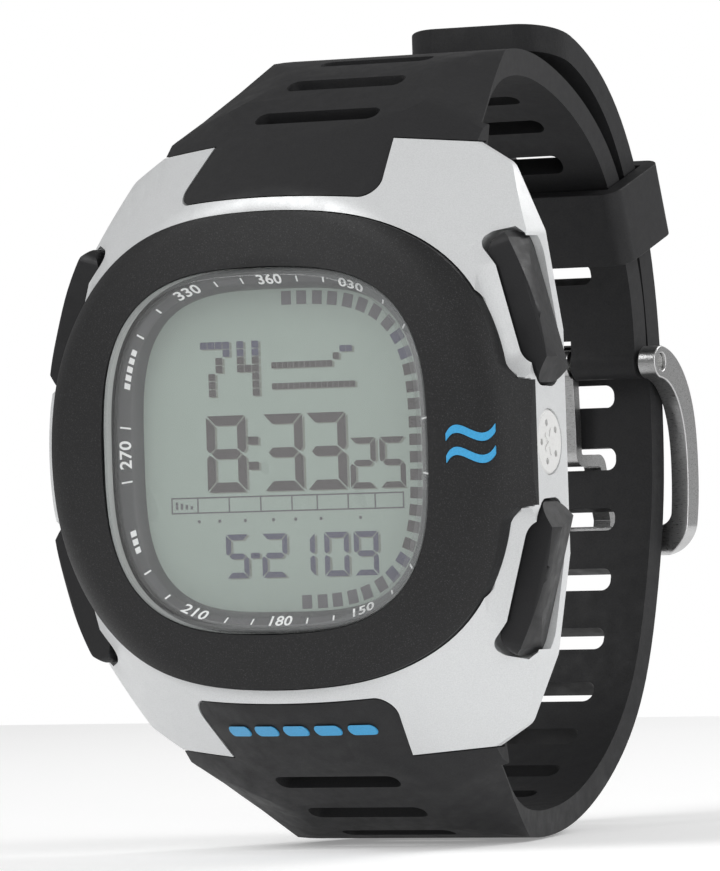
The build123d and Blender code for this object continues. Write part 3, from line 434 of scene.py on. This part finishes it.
def label(text, turn, reading, size_mm, share=0.5):
    """Number printed on the ring's face and bent round it; reading is the way it runs, +1 clockwise."""
    curve = bpy.data.curves.new("label", "FONT")
    curve.body = text
    curve.size = size_mm
    curve.align_x = "CENTER"
    curve.align_y = "CENTER"
    curve.resolution_u = 4
    curve.space_character = 1.04
    curve.offset = 0.03
    scratch = bpy.data.objects.new("label", curve)
    mesh = bpy.data.meshes.new_from_object(scratch)
    bpy.data.objects.remove(scratch)
    bpy.data.curves.remove(curve)
    bm = bmesh.new()
    bm.from_mesh(mesh)
    bpy.data.meshes.remove(mesh)
    slope = (ring_point(turn, 1) - ring_point(turn, 0)).length / MM
    radius = ring_point(turn, share).xz.length / MM
    for v in bm.verts:
        x, y = v.co.x * 1.12, v.co.y
        t = turn + reading * x / radius * 180 / pi
        v.co = ring_point(t, share + reading * y / slope, 0.035)
    return bm


# plain bars stand where the left-hand buttons' functions would be printed
bars = [(c + k * 2.6 - 0.9, c + k * 2.6 + 0.9) for c, count in ((-62.5, 5), (-118, 3))
        for k in range(-(count // 2), count // 2 + 1)]
ring_patch(bars, (0.22, 0.78), 0.03, "ring_bars", print_white)

numbers = bmesh.new()
for text, turn, reading, size in (("360", 0, 1, 1.45), ("030", 30, 1, 1.45), ("330", -30.5, 1, 1.45),
                                  ("270", -90, 1, 1.45), ("210", -148.5, -1, 1.45),
                                  ("180", 180, -1, 1.45), ("150", 149.5, -1, 1.45)):
    made = label(text, turn, reading, size)
    spare = bpy.data.meshes.new("spare")
    made.to_mesh(spare)
    made.free()
    numbers.from_mesh(spare)
    bpy.data.meshes.remove(spare)
numbers_mesh = bpy.data.meshes.new("ring_numbers")
numbers.to_mesh(numbers_mesh)
numbers.free()
piece("ring_numbers", numbers_mesh, print_white, "watch")

# ---------------------------------------------------------------- display
lcd_top = (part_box("lcd_panel")[0][1] + CASE_DEPTH) / MM
INK = 0.02


def box_outline(x0, z0, x1, z1):
    return [(x0, z0), (x1, z0), (x1, z1), (x0, z1)]


def seven(digit, x0, z0, wide, high, bar, gap=0.11):
    """Outlines of a seven-segment digit; x0 and z0 are its lower left corner."""
    lit = {"0": "abcdef", "1": "bc", "2": "abged", "3": "abgcd", "5": "afgcd", "8": "abcdefg",
           "9": "abcdfg", "-": "g"}[digit]
    x1, z1, zm = x0 + wide, z0 + high, z0 + high / 2
    b, g, h = bar, gap, bar / 2
    shapes = {
        "a": [(x0 + g, z1), (x1 - g, z1), (x1 - b - g, z1 - b), (x0 + b + g, z1 - b)],
        "d": [(x0 + g, z0), (x1 - g, z0), (x1 - b - g, z0 + b), (x0 + b + g, z0 + b)],
        "g": [(x0 + h + g, zm), (x0 + b + g, zm + h), (x1 - b - g, zm + h), (x1 - h - g, zm),
              (x1 - b - g, zm - h), (x0 + b + g, zm - h)],
        "f": [(x0, z1 - g), (x0 + b, z1 - b - g), (x0 + b, zm + h + g * 0.6), (x0 + h * 0.7, zm + g * 0.8),
              (x0, zm + h * 0.7 + g)],
    }
    shapes["b"] = [(x0 + x1 - x, z) for x, z in shapes["f"]]
    shapes["e"] = [(x, 2 * zm - z) for x, z in shapes["f"]]
    shapes["c"] = [(x0 + x1 - x, 2 * zm - z) for x, z in shapes["f"]]
    return [shapes[s] for s in lit]


def matrix(rows, x0, z1, cell_x, cell_z, gap=0.07):
    """Dot-matrix cells, one for each # in the rows; x0 and z1 are the upper left corner."""
    return [box_outline(x0 + c * cell_x + gap / 2, z1 - (r + 1) * cell_z + gap / 2,
                        x0 + (c + 1) * cell_x - gap / 2, z1 - r * cell_z - gap / 2)
            for r, row in enumerate(rows) for c, mark in enumerate(row) if mark == "#"]


ink, pale, bluish = [], [], []
for digit, x in (("8", -7.7), ("3", -1.95), ("3", 2.4)):
    ink += seven(digit, x, -3.53, 4.0, 6.72, 0.86)
for z in (0.93, -1.27):
    ink.append(box_outline(-3.45, z - 0.35, -2.45, z + 0.35))
for digit, x in (("2", 6.75), ("5", 9.7)):
    ink += seven(digit, x, -3.53, 2.55, 4.42, 0.52, 0.08)
for digit, x, wide in (("5", -6.05, 2.3), ("2", -2.4, 2.55), ("1", 0.7, 2.25), ("0", 3.9, 2.45),
                       ("9", 6.85, 2.45)):
    bluish += seven(digit, x, -11.1, wide, 3.85, 0.5, 0.08)
bluish.append(box_outline(-3.55, -9.38, -2.65, -8.9))

seven_rows = ["####", "...#", "..#.", "..#.", ".#..", ".#..", ".#.."]
four_rows = ["#.#"] * 3 + ["###"] + ["..#"] * 3
dotted = matrix(seven_rows, -8.1, 9.72, 0.76, 0.70) + matrix(four_rows, -4.4, 9.72, 0.76, 0.70)
bluish += [o for o in dotted if o[0][1] > 8.2]
ink += [o for o in dotted if o[0][1] <= 8.2]
ink += matrix(["#" * 15], -0.9, 5.9, 0.56, 0.58, 0.05)
ink += matrix(["#" * 11], -0.9, 7.75, 0.56, 0.60, 0.05)
ink += matrix(["#"], 5.3, 8.4, 0.66, 0.62, 0.05)
bluish += matrix(["##"], 6.0, 9.0, 0.64, 0.60, 0.05)

# scale bar with its cells, and the dots under it
LINE = 0.13
left, right, low, high = -11.5, 12.0, -5.35, -3.9
for x in (left, right - LINE):
    pale.append(box_outline(x, low, x + LINE, high))
for x in (-8.85, -5.65, -2.45, 0.7, 3.25, 6.35, 9.05):
    pale.append(box_outline(x, low + LINE, x + LINE, high - LINE))
for z in (low, high - LINE):
    pale.append(box_outline(left + LINE, z, right - LINE, z + LINE))
for k in range(4):
    pale.append(box_outline(left + 0.45 + k * 0.5, low + 0.4, left + 0.7 + k * 0.5, high - 0.4 - 0.12 * k))
for x in (-8.7, -6.6, -4.0, -1.15, 1.1, 3.65, 7.6):
    pale.append([(x + 0.16 * cos(a * pi / 4), -6.05 + 0.16 * sin(a * pi / 4)) for a in range(8)])

# blocks round the right-hand edge of the display
PATH = barrel(13.3, 13.3, 3.4, 720)
BLOCK_LONG, BLOCK_WIDE, BLOCK_PITCH = 0.98, 1.20, 1.53
BLOCKS = 29
walked, next_at, block = 0.0, 0.9, []
for (xa, za), (xb, zb) in zip(PATH, PATH[1:]):
    step = hypot(xb - xa, zb - za)
    if walked <= next_at < walked + step and len(block) < BLOCKS:
        block.append((xa, za, (xb - xa) / step, (zb - za) / step))
        next_at += BLOCK_PITCH
    walked += step
for k, (x, z, tx, tz) in enumerate(block):
    # each block is square to the path
    shape = [(x + tx * a + tz * b, z + tz * a - tx * b) for a, b in
             box_outline(-BLOCK_LONG / 2, -BLOCK_WIDE / 2, BLOCK_LONG / 2, BLOCK_WIDE / 2)]
    (bluish if k in (8, 9, 21, 22) else pale if k < 8 or k > 22 else ink).append(shape)

plates("lcd_segments_dark", ink, lcd_top, INK, lcd_ink)
plates("lcd_segments_blue", bluish, lcd_top, INK, lcd_blue)
plates("lcd_segments_pale", pale, lcd_top, INK, lcd_pale)
shift_x, shift_z = 0.24, -0.10
SHADOW_REACH = 13.0           # marks farther from the middle of the display have no shadow
shadows = [[(x + shift_x, z + shift_z) for x, z in o] for o in ink + bluish
           if abs(o[0][0]) < 12.2 and hypot(o[0][0], o[0][1]) < SHADOW_REACH]
plates("lcd_segment_shadows", shadows, lcd_top, INK * 0.4, lcd_shade)

# ---------------------------------------------------------------- rounded edges on the CAD shapes
soften("case_shell", 0.22)
soften("bezel", 0.18)
soften("case_back", 0.12)
for name in ("strap_upper", "strap_lower"):
    soften(name, 0.22, 35)
soften("strap_keeper", 0.35)
for name in ("buckle_frame", "buckle_tongue"):
    soften(name, 0.28)
for name in nodes:
    if name.startswith("button_cap"):
        soften(name, 0.3, 40)

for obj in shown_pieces():
    if obj.type == "MESH":
        for face in obj.data.polygons:
            face.use_smooth = True
        obj.data.set_sharp_from_angle(angle=radians(30))

# ---------------------------------------------------------------- stage, light and camera
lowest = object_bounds()[0]
floor_mesh = bpy.data.meshes.new("floor")
FLOOR = 0.3
floor_mesh.from_pydata([(-FLOOR, -FLOOR, 0), (FLOOR, -FLOOR, 0), (FLOOR, FLOOR, 0), (-FLOOR, FLOOR, 0)], [],
                       [(0, 1, 2, 3)])
floor = bpy.data.objects.new("floor", floor_mesh)
floor.location.z = lowest[2] - 0.0002
bpy.context.scene.collection.objects.link(floor)
pale_floor = grained("floor_pale", (0.90, 0.90, 0.90), 0.8, 60, 0.0, 0.995, 1.0)
pale_floor.bsdf.inputs["Emission Color"].default_value = (1, 1, 1, 1)
pale_floor.bsdf.inputs["Emission Strength"].default_value = 0.25
floor_mesh.materials.append(pale_floor.mat)

world = bpy.data.worlds.new("studio")
world.use_nodes = True
tree = world.node_tree
sky = tree.nodes["Background"]
sky.inputs["Color"].default_value = (1, 1, 1, 1)
sky.inputs["Strength"].default_value = 0.34
backdrop = tree.nodes.new("ShaderNodeBackground")
backdrop.inputs["Color"].default_value = (1, 1, 1, 1)
blend = tree.nodes.new("ShaderNodeMixShader")
rays = tree.nodes.new("ShaderNodeLightPath")
tree.links.new(rays.outputs["Is Camera Ray"], blend.inputs[0])
tree.links.new(sky.outputs[0], blend.inputs[1])
tree.links.new(backdrop.outputs[0], blend.inputs[2])
tree.links.new(blend.outputs[0], tree.nodes["World Output"].inputs["Surface"])
bpy.context.scene.world = world

target = Vector((0, 0.012, 0))


def softbox(name, where, width, height, watts):
    data = bpy.data.lights.new(name, "AREA")
    data.shape = "RECTANGLE"
    data.size, data.size_y, data.energy = width, height, watts
    lamp = bpy.data.objects.new(name, data)
    lamp.location = where
    lamp.rotation_euler = (target - Vector(where)).to_track_quat("-Z", "Y").to_euler()
    bpy.context.scene.collection.objects.link(lamp)


softbox("key", (-0.25, -0.45, 0.45), 0.35, 0.35, 2.4)
softbox("fill", (0.55, -0.25, 0.15), 0.4, 0.5, 1.3)
softbox("rim", (0.35, 0.45, 0.35), 0.3, 0.3, 1.6)

AZIMUTH, ELEVATION, ROLL = radians(29.508), radians(-0.209), radians(-1.796)
DISTANCE, SIDE, RISE = 673.179 * MM, 8.706 * MM, 1.065 * MM
back = Vector((sin(AZIMUTH) * cos(ELEVATION), -cos(AZIMUTH) * cos(ELEVATION), sin(ELEVATION)))
across = (-back).cross(Vector((0, 0, 1))).normalized()
up = across.cross(-back)
eye = back * DISTANCE + across * SIDE + up * RISE - Vector((0, CASE_DEPTH, 0))
right_axis = across * cos(ROLL) + up * sin(ROLL)
up_axis = up * cos(ROLL) - across * sin(ROLL)
camera_data = bpy.data.cameras.new("camera")
camera_data.sensor_width = 36
camera_data.lens = 7741.4 * 36 / 871
camera_data.clip_start, camera_data.clip_end = 0.05, 20
camera = bpy.data.objects.new("camera", camera_data)
turn = Matrix((right_axis, up_axis, back)).transposed()
camera.matrix_world = Matrix.Translation(eye) @ turn.to_4x4()
bpy.context.scene.collection.objects.link(camera)
bpy.context.scene.camera = camera
bpy.context.scene.view_settings.view_transform = "Standard"
